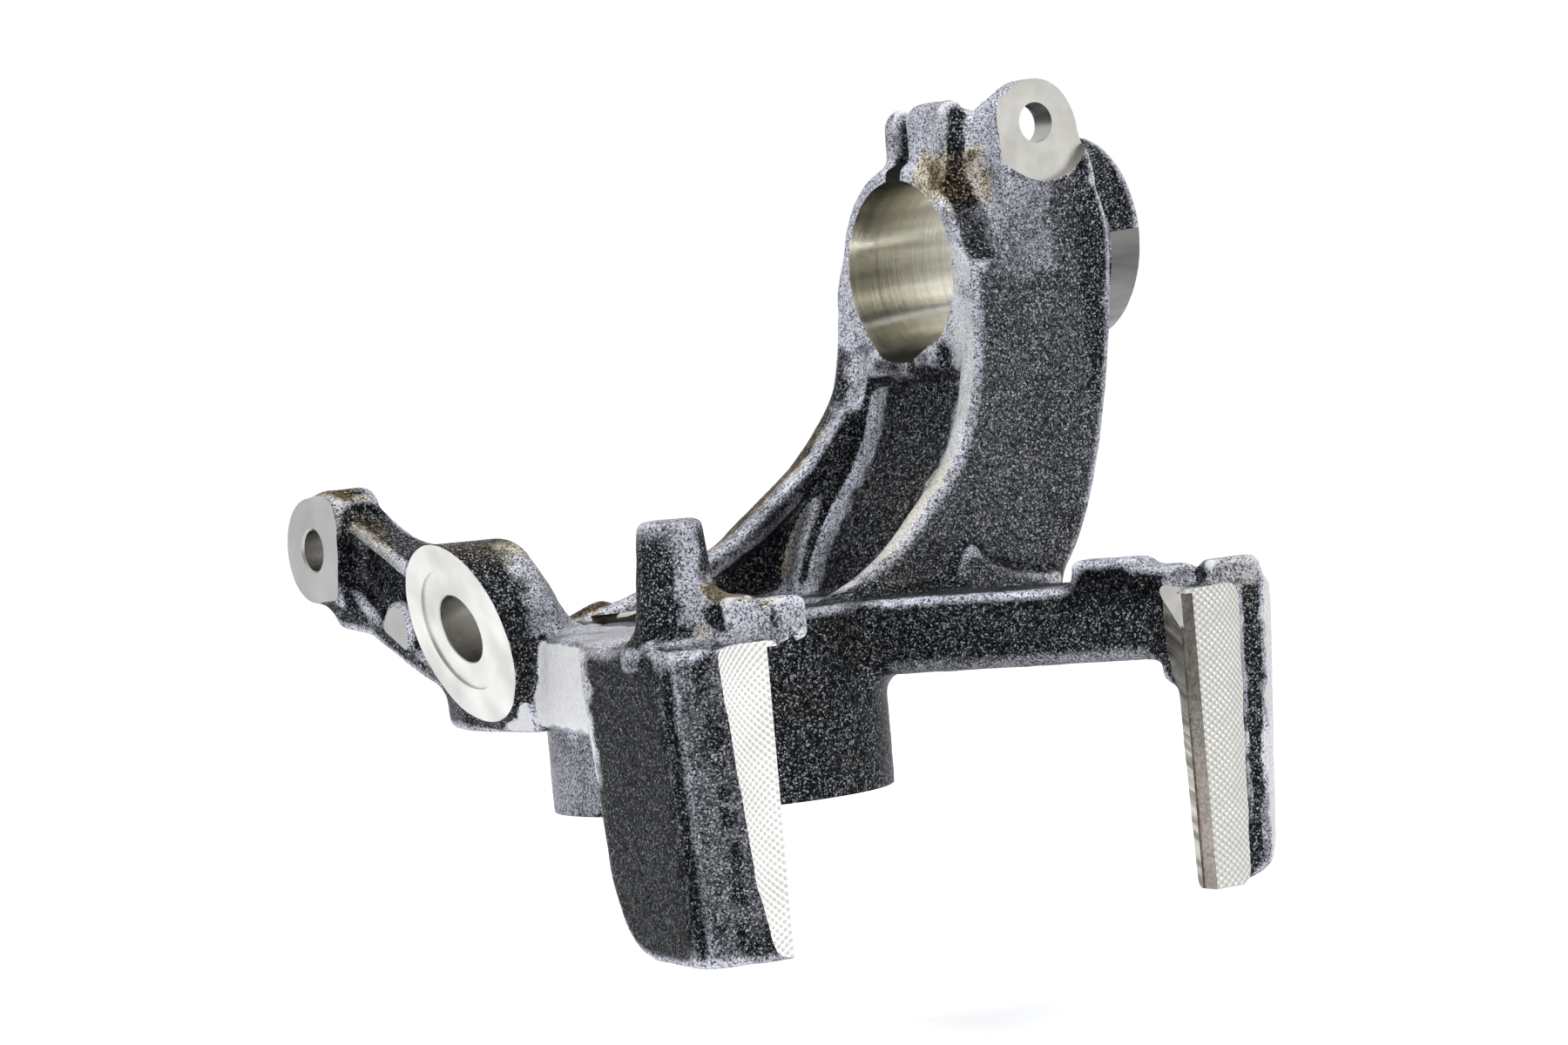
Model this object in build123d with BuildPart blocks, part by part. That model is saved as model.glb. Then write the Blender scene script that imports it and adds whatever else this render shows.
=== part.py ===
"""Steering knuckle: one iron casting with machined seats.

Frame: origin on the wheel-bearing axis, in the plane of the housing's
outboard face.  Z runs inboard along the wheel axis, X towards the strut
clamp, and the brake side is -Y.  Millimetres.
"""
import os
from math import cos, sin, tan, radians
from build123d import *

os.makedirs("parts", exist_ok=True)

# ---- driving dimensions -------------------------------------------------
HUB_R = 53.0          # bearing housing, outside radius
HUB_BORE_R = 42.0     # bearing seat
HUB_RELIEF_R = 36.0   # clearance bore past the bearing shoulder
HUB_SEAT_L = 43.0     # depth of the bearing seat
HUB_EDGE = 1.8        # rounding of the housing's outer edge
FLANGE_Z = 58.0       # inboard face of the body
WEB_Z = 29.0          # outboard face of the left web
ARM_Z = 34.5          # outboard face of the right caliper arm

WAY_Y = -148.4        # machined way faces
WAY_X = 74.5          # half the gap between the two ways
WAY_END = -33.5       # outboard end of the ways
WAY_TOP = 56.0        # inboard end of the ways
STOCK = 0.8           # left on the way castings, then milled off

RING_R = 33.5         # strut clamp, outside radius
RING_BORE_R = 27.0    # strut clamp bore
RING_X0 = 83.0        # clamp's lower end
RING_L = 72.0         # clamp's length
RING_Z = 157.7        # bore axis height at RING_X0
RING_TILT = 4.5       # bore axis rise, degrees
SLOT = 8.0            # clamp slot width
WALL_Y = 39.5         # outer face of each upright wall
WALL_T = 10.0         # wall thickness

PINCH_IN = 30.4       # clamp bolt axis, from the clamp's lower end
PINCH_UP = 42.6       # clamp bolt axis, above the bore axis there
PINCH_R = 6.35
SPOT_R = 18.7         # spot face on the bolt tab
SPOT_DEPTH = 1.5

BJ_X, BJ_Z = -88.8, 61.0          # ball-joint hole, centre of the outer face
BJ_TILT = 16.0
BJ_BOSS_R = 27.5
BJ_R = 10.85
BJ_L = 26.0           # hole length, face to nut seat
BJ_SEAT_R = 17.5

EYE_X = -77.3         # tie-rod eye, centre of the outer face
EYE_Y = 110.0
EYE_Z = 85.5
EYE_OUT_R = 17.0
EYE_R = 6.66
EYE_T = 19.3
ARM_STEP = 3.3        # arm's side behind the eye's face

PEG_IN = 22.4         # cast locating peg, from the way face
PEG_OUT = 15.0        # and outward of the gap
PEG_R = 13.0
PEG_H = 34.0          # above the body's inboard face
PEG_DRAFT = 5.0
PEG_BOSS_R = 17.2     # boss that carries it
PEG_BOSS_H = 12.0

# sizes that follow from those above
RING_X1 = RING_X0 + RING_L
PINCH_X, PINCH_Z = RING_X0 + PINCH_IN, RING_Z + PINCH_UP
CLAMP_DX, CLAMP_DZ = RING_X0 - 83.0, RING_Z - 157.7


def ring_z(x):
    return RING_Z + (x - RING_X0) * tan(radians(RING_TILT))


def up(x, z):
    """Point of the upright, carried along when the strut clamp moves."""
    rise = min(1.0, (z - 58.0) / 99.7)
    return (x + rise * CLAMP_DX,
            z + (1 - rise) * (FLANGE_Z - 58.0) + rise * CLAMP_DZ)


def upright(*pts):
    return [up(*p) for p in pts]


def right(dx, dy):
    """Point of the right way, from its inner front edge."""
    return (WAY_X + dx, WAY_Y + dy)


def left(dx, dy):
    """Point of the left way, from its inner front edge."""
    return (-WAY_X - dx, WAY_Y + dy)


def reach(y, z):
    """Point of the steering arm, carried along when its eye moves."""
    run = (y - 20.0) / 90.0
    return (y + run * (EYE_Y - 110.0), z + run * (EYE_Z - 85.5))


def side_profile(pts, y0, y1, mode=Mode.ADD):
    """Solid from an (X, Z) outline between two Y planes."""
    with BuildSketch(Plane.XZ.offset(-y1)) as outline:
        with BuildLine():
            Polyline(*pts, close=True)
        make_face()
    extrude(outline.sketch, amount=y1 - y0, mode=mode)


def swept_profile(front, rest, y0, y1):
    """As side_profile, with a smooth curve through the front points."""
    with BuildSketch(Plane.XZ.offset(-y1)) as outline:
        with BuildLine():
            Spline(*front)
            Polyline(front[-1], *rest, front[0])
        make_face()
    extrude(outline.sketch, amount=y1 - y0)


def way_block(top, end, z0, z1):
    """Drafted prism between two (X, Y) outlines of equal corner count."""
    with BuildSketch(Plane.XY.offset(z0)) as low:
        with BuildLine():
            Polyline(*end, close=True)
        make_face()
    with BuildSketch(Plane.XY.offset(z1)) as high:
        with BuildLine():
            Polyline(*top, close=True)
        make_face()
    loft([low.sketch.face(), high.sketch.face()], ruled=True)


def plan_block(pts, z0, z1, taper=0.0):
    """Solid from an (X, Y) outline between two Z planes."""
    with BuildSketch(Plane.XY.offset(z0)) as outline:
        with BuildLine():
            Polyline(*pts, close=True)
        make_face()
    extrude(outline.sketch, amount=z1 - z0, taper=taper)


# the walls' edges sweep down from the clamp into the body
NEAR_FRONT = upright(
    (84.0, 157.0), (83.0, 140.0), (80.0, 121.0), (76.5, 109.0),
    (70.5, 97.0), (64.5, 90.0), (57.3, 83.0), (50.0, 76.0),
    (42.6, 69.8), (34.0, 64.6), (25.4, 60.7), (12.0, 57.0))
NEAR_BACK = upright(
    (108.5, 57.0), (113.5, 63.0), (120.0, 74.5), (127.5, 95.0),
    (132.5, 115.0), (136.2, 135.0), (138.8, 157.0), (139.0, 167.0))
FAR_FRONT = upright(
    (83.5, 150.0), (80.0, 129.0), (77.0, 120.0), (69.4, 109.5),
    (58.7, 98.5), (49.5, 91.8), (43.3, 87.4), (36.0, 82.4),
    (28.7, 77.0), (14.0, 70.2), (-3.0, 66.6), (-30.0, 58.0))
FAR_BACK = upright(
    (106.0, 57.0), (117.0, 73.0), (127.0, 95.0), (132.5, 115.0),
    (136.0, 133.0), (138.5, 155.0))
WEB_FRONT = upright(
    (86.0, 135.0), (85.0, 121.0), (81.0, 108.0), (75.5, 97.0),
    (67.0, 86.0), (60.0, 76.0), (55.0, 66.0), (52.0, 56.0),
    (51.0, 46.0))

with BuildPart() as knuckle_casting:
    # bearing housing
    with BuildSketch(Plane.XY):
        Circle(HUB_R)
    extrude(amount=FLANGE_Z)
    fillet(knuckle_casting.edges().group_by(Axis.Z)[0], HUB_EDGE)

    # foot of the upright, a shelf beyond the housing
    plan_block([(-10, -WALL_Y + 0.5), (30, -WALL_Y - 4.5),
                (60, -WALL_Y - 7.5), (96, -WALL_Y - 4.5),
                (107, -WALL_Y + 3.5), (109, 0), (103, WALL_Y - 0.5),
                (-20, WALL_Y - 0.5)], FLANGE_Z - 22.0, FLANGE_Z)

    # near and far walls of the upright
    with BuildPart(mode=Mode.PRIVATE) as near_wall:
      with BuildSketch(Plane.XZ.offset(WALL_Y - WALL_T)):
        with BuildLine():
            Spline(*NEAR_FRONT)
            Polyline(NEAR_FRONT[-1], up(12.0, 46.0), up(106.0, 46.0),
                     NEAR_BACK[0])
            Spline(*NEAR_BACK)
            Polyline(NEAR_BACK[-1], *upright(
                (135.0, 178.0), (132.0, 188.0), (129.5, 197.0),
                (126.0, 200.0), (100.0, 200.0), (99.0, 190.0),
                (104.5, 182.0), (103.0, 170.0), (94.0, 162.0)),
                NEAR_FRONT[0])
        make_face()
      extrude(amount=WALL_T)
      swept = near_wall.edges().filter_by(GeomType.BSPLINE)
      fillet(swept.group_by(Axis.Y)[0], WALL_T * 0.35)
      swept = near_wall.edges().filter_by(GeomType.BSPLINE)
      fillet(swept.group_by(Axis.Y)[-1], WALL_T * 0.25)
    add(near_wall.part)
    with BuildPart(mode=Mode.PRIVATE) as far_wall:
      with BuildSketch(Plane.XZ.offset(-WALL_Y)):
        with BuildLine():
            Spline(*FAR_FRONT)
            Polyline(FAR_FRONT[-1], up(-30.0, 46.0), up(104.0, 46.0),
                     FAR_BACK[0])
            Spline(*FAR_BACK)
            Polyline(FAR_BACK[-1], FAR_FRONT[0])
        make_face()
      extrude(amount=WALL_T)
      swept = far_wall.edges().filter_by(GeomType.BSPLINE)
      fillet(swept.group_by(Axis.Y)[0], WALL_T * 0.3)
      swept = far_wall.edges().filter_by(GeomType.BSPLINE)
      fillet(swept.group_by(Axis.Y)[-1], WALL_T * 0.35)
    add(far_wall.part)
    # web between them
    swept_profile(WEB_FRONT, upright((70.0, 46.0), (72.0, 60.0),
                                     (80.0, 76.0), (90.0, 94.0),
                                     (98.0, 112.0), (101.0, 128.0),
                                     (101.0, 138.0)),
                  -WALL_Y + WALL_T / 2, WALL_Y - WALL_T / 2)
    # raised border on the far side of the web, and the bar under the ring
    inner = WALL_Y - WALL_T
    swept_profile(upright((84.0, 140.0), (80.5, 122.0), (74.5, 109.0),
                          (67.5, 98.0), (58.5, 86.0), (52.5, 75.0),
                          (48.5, 64.0), (47.0, 50.0)),
                  upright((70.0, 50.0), (95.0, 115.0), (98.0, 140.0)),
                  inner - 6.5, inner + 3.5)
    side_profile(upright((84.5, 140.0), (84.0, 131.0), (82.8, 123.5),
                         (92.0, 123.5), (98.0, 140.0)),
                 -inner - 3.5, inner + 3.5)
    side_profile(upright((83.0, 132.0), (81.8, 132.0), (81.0, 125.0),
                         (84.0, 125.0), (98.0, 132.0)), -0.5, 22.0)

    # strut clamp ring, and the saddle that joins it to both walls
    with BuildSketch(Plane.YZ.offset(RING_X0)):
        with Locations((0, ring_z(RING_X0))):
            Circle(RING_R)
    with BuildSketch(Plane.YZ.offset(RING_X1)):
        with Locations((0, ring_z(RING_X1))):
            Circle(RING_R)
    loft()
    half = WALL_Y - 0.5
    with BuildSketch(Plane.YZ.offset(RING_X0)):
        with BuildLine():
            Polyline((-half, RING_Z - 31.7), (-half, RING_Z - 5.7),
                     (-half + 4.5, RING_Z + 4.3), (-half + 11, RING_Z + 14.3),
                     (half - 11, RING_Z + 14.3), (half - 4.5, RING_Z + 4.3),
                     (half, RING_Z - 5.7), (half, RING_Z - 31.7), close=True)
        make_face()
    extrude(amount=48)

    # clamp ears either side of the slot
    side_profile(upright((86.5, 172.0), (86.5, 206.0), (89.0, 209.0),
                         (94.5, 210.5), (97.5, 206.0), (100.0, 202.5),
                         (107.0, 202.5), (113.0, 208.0), (124.0, 203.0),
                         (126.0, 190.0), (128.0, 180.0)), -14.0, -1.0)
    side_profile(upright((87.0, 172.0), (87.0, 206.0), (89.0, 209.0),
                         (94.5, 210.5), (97.0, 206.0), (99.0, 202.5),
                         (101.0, 196.0), (101.0, 172.0)), -24.0, -6.0)
    side_profile(upright((88.0, 172.0), (88.0, 204.0), (91.0, 208.5),
                         (95.0, 209.5), (98.0, 202.0), (107.0, 202.0),
                         (113.0, 208.0), (118.0, 209.0), (126.0, 203.0),
                         (128.0, 180.0)), 1.0, 11.0)
    side_profile(upright((94.5, 172.0), (94.5, 192.0), (99.0, 200.0),
                         (107.0, 202.0), (113.0, 208.0), (118.0, 209.0),
                         (125.0, 202.0), (127.0, 180.0)), 8.0, 22.0)
    # bolt tab on the near side, with the body that ties it to the ear
    with BuildSketch(Plane.XZ.offset(WALL_Y - 11.5)):
        with Locations((PINCH_X, PINCH_Z - 1.0)):
            Circle(15.0)
        with BuildLine():
            Polyline(*upright((99.0, 208.0), (106.0, 211.0), (129.0, 201.0),
                              (131.5, 188.0), (134.0, 178.0), (104.5, 170.0),
                              (103.0, 184.0), (98.5, 189.0)), close=True)
        make_face()
    extrude(amount=11.5)
    tie_z = RING_Z + 2.3
    with BuildSketch(Plane.XY.offset(tie_z)):
        with BuildLine():
            Polyline(*[(x + CLAMP_DX, y) for x, y in (
                (98.5, -WALL_Y + 1.0), (98.5, -34.0), (93.0, -22.0),
                (93.0, -10.0), (104.0, -10.0), (104.0, -22.0),
                (108.0, -30.0), (108.0, -WALL_Y + 1.0))], close=True)
        make_face()
    extrude(amount=42.5)

    # right caliper arm, from the housing out to its way
    with BuildPart(mode=Mode.PRIVATE) as caliper_arm:
        plan_block([(14, -32), (24.5, -47.0), right(1.0, 16.9),
                    right(33.5, 15.4), right(33.5, 27.4), (54.0, -34.0)],
                   ARM_Z, FLANGE_Z)
        fillet(caliper_arm.edges().group_by(Axis.Z)[0], 5.0)
        fillet(caliper_arm.edges().group_by(Axis.Z)[-1], 1.5)
    add(caliper_arm.part)
    # left web: housing, ball-joint lug and left way in one plate
    with BuildPart(mode=Mode.PRIVATE) as left_web:
        plan_block([(-23.0, -44.0), left(-0.5, 22.4), left(3.5, 10.4),
                    left(23.5, 12.4), left(22.0, 62.4), (BJ_X + 12.8, -26.0),
                    (BJ_X + 16.8, 20.0), (-58.0, 44.0), (-30.0, 46.0),
                    (0.0, 30.0)], WEB_Z, FLANGE_Z)
        fillet(left_web.edges().group_by(Axis.Z)[0], 4.0)
        fillet(left_web.edges().group_by(Axis.Z)[-1], 3.0)
    add(left_web.part)
    # right way, drafted towards its outboard end
    way_block([right(-STOCK, -STOCK), right(15.0, -STOCK), right(17.0, 1.0),
               right(25.0, 1.0), right(30.5, 2.2), right(34.5, 5.4),
               right(37.0, 10.4), right(37.5, 24.4), right(13.5, 24.4),
               right(9.5, 21.9), right(-STOCK, 10.4)],
              [right(-STOCK, -STOCK), right(10.3, -STOCK), right(12.3, 1.0),
               right(18.0, 1.0), right(23.5, 2.2), right(27.5, 5.4),
               right(29.5, 10.4), right(30.0, 22.4), right(13.5, 22.4),
               right(9.5, 19.4), right(-STOCK, 6.9)],
              WAY_END, WAY_TOP)
    # its rounded outboard corner
    side_profile([(WAY_X + dx, WAY_END + dz) for dx, dz in (
        (39.5, 21.5), (34.0, 21.5), (30.5, 11.5), (25.5, 5.0), (17.5, 1.7),
        (5.5, 0.3), (-0.5, 0.0), (-0.5, -11.5), (39.5, -11.5))],
        WAY_Y - 11.6, WAY_Y + 33.4, Mode.SUBTRACT)
    # its inner land carries on across the end of the arm
    plan_block([right(0, 8.4), right(0, 17.4), right(7.5, 24.4),
                right(13.5, 18.4)], ARM_Z - 6.5, WAY_TOP)
    # left way, deeper, and swept into the left web
    way_block([left(-STOCK, -STOCK), left(-STOCK, 10.4), left(6.5, 17.4),
               left(5.5, 62.4),
               left(13.5, 70.4), left(19.5, 69.4), left(23.5, 65.4),
               left(31.8, 9.4), left(29.5, 4.4), left(24.0, 1.8),
               left(17.0, 1.2), left(15.0, -STOCK)],
              [left(-STOCK, -STOCK), left(-STOCK, 10.4), left(5.5, 17.4),
               left(3.5, 62.4),
               left(7.5, 69.4), left(12.5, 69.4), left(17.0, 65.4),
               left(26.8, 11.0), left(24.0, 4.9), left(17.0, 1.8),
               left(8.1, 1.2), left(6.1, -STOCK)],
              WAY_END, WAY_TOP)
    with BuildSketch(Plane.YZ.offset(-WAY_X - 45.5)):
        corner = [(WAY_Y + dy, WAY_END + dz) for dy, dz in (
            (69.4, 43.5), (67.9, 27.5), (63.4, 14.5), (56.4, 5.0),
            (47.4, 1.0), (36.4, -0.1), (36.4, -11.5), (88.4, -11.5),
            (88.4, 43.5))]
        with BuildLine():
            Spline(*corner[:6])
            Polyline(*corner[5:], corner[0])
        make_face()
    extrude(amount=55.0, mode=Mode.SUBTRACT)

    # ball-joint boss on its lug
    bj_dir = (cos(radians(BJ_TILT)), 0, sin(radians(BJ_TILT)))
    bj_plane = Plane(origin=(BJ_X, 0, BJ_Z), x_dir=(0, 1, 0), z_dir=bj_dir)
    with BuildSketch(Plane.YZ.offset(BJ_X - 12)):
        with Locations((0, BJ_Z - 1.0)):
            Circle(BJ_BOSS_R)
    extrude(amount=26.0)
    with BuildSketch(Plane.YZ.offset(BJ_X + 14)):
        with Locations((0, BJ_Z - 1.0)):
            Circle(BJ_BOSS_R)
    with BuildSketch(Plane.YZ.offset(BJ_X + 34)):
        with Locations((0, FLANGE_Z - 10.0)):
            Circle(BJ_BOSS_R - 9.5)
    loft()
    # foot below the boss
    with BuildPart(mode=Mode.PRIVATE) as foot:
        plan_block([(BJ_X + 9.8, -20.0), (BJ_X + 9.8, 20.0),
                    (BJ_X + 16.8, 41.0), (BJ_X + 28.8, 45.0), (-45.0, 20.0),
                    (-45.0, -20.0)], WEB_Z - 0.5, WEB_Z + 21.0)
        fillet(foot.edges().group_by(Axis.Z)[0], 2.5)
    add(foot.part)

    # steering arm, an I-section that runs out to the tie-rod eye
    arm_x = EYE_X + ARM_STEP
    with BuildSketch(Plane.YZ.offset(arm_x)):
        with BuildLine():
            Polyline(reach(20.0, 34.0), reach(55.2, 45.4),
                     reach(83.8, 57.7), reach(103.7, 60.0),
                     reach(112.0, 69.0), reach(104.0, 101.5),
                     reach(97.6, 98.0), reach(57.4, 80.0),
                     reach(20.0, 64.0), close=True)
        make_face()
    extrude(amount=EYE_T - ARM_STEP)
    with BuildSketch(Plane.YZ.offset(arm_x)):
        with BuildLine():
            Polyline(reach(20.0, 34.0), reach(55.2, 45.4),
                     reach(70.0, 52.0), reach(75.0, 86.0),
                     reach(57.4, 80.0), reach(20.0, 64.0), close=True)
        make_face()
    extrude(amount=24)
    with BuildSketch(Plane.YZ.offset(EYE_X)):
        with Locations((EYE_Y, EYE_Z)):
            Circle(EYE_OUT_R)
    extrude(amount=EYE_T)
    with BuildSketch(Plane.YZ.offset(EYE_X)):
        with BuildLine():
            Polyline(*[(EYE_Y + dy, EYE_Z + dz) for dy, dz in (
                (-1.0, 16.9), (-6.0, 18.8), (-14.0, 18.8), (-19.5, 15.5),
                (-15.0, -18.5), (-5.0, -16.2))], close=True)
        make_face()
    extrude(amount=EYE_T - ARM_STEP)

    # hollow sides of the I-section
    with BuildSketch(Plane.YZ.offset(arm_x - 6.0)):
        with BuildLine():
            Polyline(reach(93.0, 91.0), reach(50.0, 71.5),
                     reach(30.0, 60.0), reach(30.0, 46.0),
                     reach(55.0, 54.0), reach(76.8, 63.5),
                     reach(94.5, 74.5), close=True)
        make_face()
    extrude(amount=12.5, mode=Mode.SUBTRACT)
    with BuildSketch(Plane.YZ.offset(arm_x + 24.0)):
        with BuildLine():
            Polyline(reach(88.0, 88.0), reach(58.0, 73.0),
                     reach(58.0, 57.0), reach(76.8, 64.5),
                     reach(88.0, 70.0), close=True)
        make_face()
    extrude(amount=-10.0, mode=Mode.SUBTRACT)
    # flat on the lower flange
    with BuildSketch(Plane.YZ.offset(arm_x - 1.0)):
        with Locations(reach(64.5, 60.0)):
            Circle(9.0)
        with Locations(reach(64.5, 34.0)):
            Rectangle(40, 40, rotation=25, mode=Mode.SUBTRACT)
    extrude(amount=10.0)

    # locating peg, tapered, with a broken edge
    with BuildPart(mode=Mode.PRIVATE) as peg:
        with BuildSketch(Plane.XY.offset(FLANGE_Z - 8.0)):
            with Locations(left(PEG_OUT, PEG_IN)):
                Circle(PEG_R)
        extrude(amount=PEG_H + 8.0, taper=PEG_DRAFT)
        fillet(peg.edges().group_by(Axis.Z)[-1], 1.6)
    add(peg.part)
    # its boss, which swells out of the way's outer face
    boss_x, boss_y = left(PEG_OUT, PEG_IN)
    with BuildSketch(Plane.XZ.offset(-boss_y)):
        with BuildLine():
            Polyline(*[(boss_x + dx, FLANGE_Z + 0.6 + dz) for dx, dz in (
                (0, 0), (PEG_BOSS_R - 2.5, 0), (PEG_BOSS_R, -2.6),
                (PEG_BOSS_R, -PEG_BOSS_H + 4.5),
                (PEG_BOSS_R - 3.5, -PEG_BOSS_H), (0, -PEG_BOSS_H))],
                close=True)
        make_face()
    revolve(axis=Axis((boss_x, boss_y, 0), (0, 0, 1)))

    # pads and lugs on the inboard edge of the left way
    plan_block([left(-0.5, 2.4), left(11.4, 2.4), left(11.4, 16.0),
                left(4.0, 16.0), left(-0.5, 12.4)], WAY_TOP - 6.0,
               WAY_TOP + 8.6)
    plan_block([left(0.8, 2.4), left(10.8, 2.4), left(10.8, 12.4),
                left(0.8, 12.4)], WAY_TOP, WAY_TOP + 13.6)
    plan_block([left(-15.0, 0.4), left(-4.0, 0.4), left(-4.0, 10.4),
                left(-15.0, 10.4)], WAY_TOP - 1.0, WAY_TOP + 12.0)
    plan_block([left(-6.0, 4.4), left(2.0, 4.4), left(2.0, 10.4),
                left(-6.0, 10.4)], WAY_TOP + 0.5, WAY_TOP + 8.0)
    # and of the caliper arm and the right way
    plan_block([(61.0, -107.0), (71.5, -126.0), (84.0, -121.0),
                (72.5, -100.0)], FLANGE_Z - 3.0, FLANGE_Z + 7.6)
    plan_block([right(-2.5, 22.4), right(4.0, 14.0), right(14.0, 14.0),
                right(12.0, 26.4)], FLANGE_Z - 3.0, FLANGE_Z + 4.8)
    plan_block([right(8.4, 2.4), right(29.8, 2.4), right(29.8, 12.4),
                right(13.4, 12.4)], WAY_TOP - 2.0, WAY_TOP + 7.4)

    # ---- machining ----
    # way faces, and the lands that face each other across the gap
    gap_mid = (0, WAY_Y + 5.0, (WAY_END + WAY_TOP) / 2 - 5.0)
    with Locations((0, WAY_Y - 5.0, 0)):
        Box(4 * WAY_X, 10.0, 6 * (WAY_TOP - WAY_END), mode=Mode.SUBTRACT)
    with Locations(gap_mid):
        Box(2 * WAY_X, 14.0, WAY_TOP - WAY_END + 8.0, mode=Mode.SUBTRACT)
    # flat under the ball-joint boss
    with Locations((BJ_X - 4.0, 0, WEB_Z - 5.0)):
        Box(30.0, 60.0, 20.0, mode=Mode.SUBTRACT)
    # ball-joint face, square to its hole
    with BuildSketch(bj_plane):
        Rectangle(90, 90)
    extrude(amount=-30, mode=Mode.SUBTRACT)
    # bearing seat, shoulder and clearance
    with BuildSketch(Plane.XZ):
        with BuildLine():
            Polyline((0, -1), (HUB_BORE_R, -1),
                     (HUB_BORE_R, HUB_SEAT_L), (HUB_RELIEF_R, HUB_SEAT_L),
                     (HUB_RELIEF_R, FLANGE_Z - 1.0),
                     (HUB_RELIEF_R + 3.0, FLANGE_Z + 2.0),
                     (HUB_RELIEF_R + 3.0, FLANGE_Z + 17.0),
                     (0, FLANGE_Z + 17.0), close=True)
        make_face()
    revolve(axis=Axis.Z, mode=Mode.SUBTRACT)
    # strut bore
    axis_dir = (cos(radians(RING_TILT)), 0, sin(radians(RING_TILT)))
    ring_plane = Plane(origin=(RING_X0, 0, RING_Z), x_dir=(0, 1, 0),
                       z_dir=axis_dir)
    with BuildSketch(ring_plane.offset(-20)):
        Circle(RING_BORE_R)
    extrude(amount=RING_L + 58, mode=Mode.SUBTRACT)
    # slot
    with Locations((RING_X0 + 37.0, 0, RING_Z + 47.3)):
        Box(100.0, SLOT, 60.0, mode=Mode.SUBTRACT)
    # spot face and clamp bolt hole
    with BuildSketch(Plane.XZ.offset(WALL_Y - SPOT_DEPTH)):
        with Locations((PINCH_X, PINCH_Z)):
            Circle(SPOT_R)
    extrude(amount=10, mode=Mode.SUBTRACT)
    with BuildSketch(Plane.XZ.offset(WALL_Y + 10.0)):
        with Locations((PINCH_X, PINCH_Z)):
            Circle(PINCH_R)
    extrude(amount=-2 * WALL_Y - 10, mode=Mode.SUBTRACT)
    # ball-joint hole
    with BuildSketch(bj_plane.offset(-10)):
        Circle(BJ_R)
    extrude(amount=50, mode=Mode.SUBTRACT)
    # nut seat behind it
    with BuildSketch(bj_plane.offset(BJ_L)):
        Circle(BJ_SEAT_R)
    extrude(amount=30, mode=Mode.SUBTRACT)
    # tie-rod hole
    with BuildSketch(Plane.YZ.offset(EYE_X - 5)):
        with Locations((EYE_Y, EYE_Z)):
            Circle(EYE_R)
    extrude(amount=EYE_T + 24, mode=Mode.SUBTRACT)
knuckle_casting.part.label = "knuckle_casting"
print(knuckle_casting.part.is_valid, knuckle_casting.part.volume,
      len(knuckle_casting.part.solids()))
export_step(knuckle_casting.part, "parts/knuckle_casting.step")
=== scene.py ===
"""Steering knuckle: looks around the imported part."""
import math

import bmesh
import bpy
import numpy as np
import openvdb as vdb
from mathutils import Matrix, Vector, kdtree, noise


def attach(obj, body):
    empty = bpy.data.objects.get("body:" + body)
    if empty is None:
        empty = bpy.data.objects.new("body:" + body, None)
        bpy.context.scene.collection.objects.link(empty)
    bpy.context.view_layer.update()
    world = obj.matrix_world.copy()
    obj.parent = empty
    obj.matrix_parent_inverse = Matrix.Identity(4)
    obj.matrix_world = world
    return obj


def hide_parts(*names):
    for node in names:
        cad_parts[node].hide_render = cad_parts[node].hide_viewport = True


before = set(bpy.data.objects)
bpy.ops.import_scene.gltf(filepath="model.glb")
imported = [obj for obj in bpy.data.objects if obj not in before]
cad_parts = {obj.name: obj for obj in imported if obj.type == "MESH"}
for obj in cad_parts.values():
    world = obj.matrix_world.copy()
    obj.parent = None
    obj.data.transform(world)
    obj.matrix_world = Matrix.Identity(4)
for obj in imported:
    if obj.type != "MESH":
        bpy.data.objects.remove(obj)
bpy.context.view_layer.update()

MM = 0.001
VOXEL = 1.0             # mm, of the cast skin's field
FILLET_R = 1.8          # mm, concave fillets of the casting
SWEPT_R = 5.5           # mm, concave fillets inside the swept boxes
ROUND_R = 1.3           # mm, convex edges of the casting
WORN_R = 5.0            # mm, convex edges inside the worn boxes
SKIN_FACES = 165000     # triangles kept for the cast skin
EDGE = 6.0              # mm over which a place on the skin fades out
CREASE_SKIN = math.radians(70)      # sharper edges than these are shaded hard
CREASE_CUT = math.radians(30)

# sizes shared with the part, mm, but for the lead-in and the groove
WAY_Y, WAY_X, WAY_END, WAY_TOP = -148.4, 74.5, -33.5, 56.0
RING_X0, RING_L, RING_Z, RING_TILT = 83.0, 72.0, 157.7, 4.5
RING_BORE_R, RING_R, SLOT, WALL_Y = 27.0, 33.5, 8.0, 39.5
PINCH_X, PINCH_Z, PINCH_R, SPOT_R, PINCH_FACE = 113.4, 200.3, 6.35, 18.7, -38.0
BJ_X, BJ_Z, BJ_TILT, BJ_BOSS_R, BJ_R, BJ_L, BJ_SEAT_R = (
    -88.8, 61.0, 16.0, 27.5, 10.85, 26.0, 17.5)
EYE_X, EYE_Y, EYE_Z, EYE_OUT_R, EYE_R, EYE_T = -77.3, 110.0, 85.5, 17.0, 6.66, 19.3
LEAD_R, LEAD_L = 2.0, 10.0      # lead-in of the strut clamp's bore
HUB_R, HUB_BORE_R, HUB_RELIEF_R, HUB_SEAT_L, FLANGE_Z = 53.0, 42.0, 36.0, 43.0, 58.0
GROOVE_Z0, GROOVE_Z1, GROOVE_DEPTH = 35.0, 37.5, 1.2    # groove in the bearing's bore
ORIGIN, X_AXIS, Y_AXIS, Z_AXIS = (0, 0, 0), (1, 0, 0), (0, 1, 0), (0, 0, 1)
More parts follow.
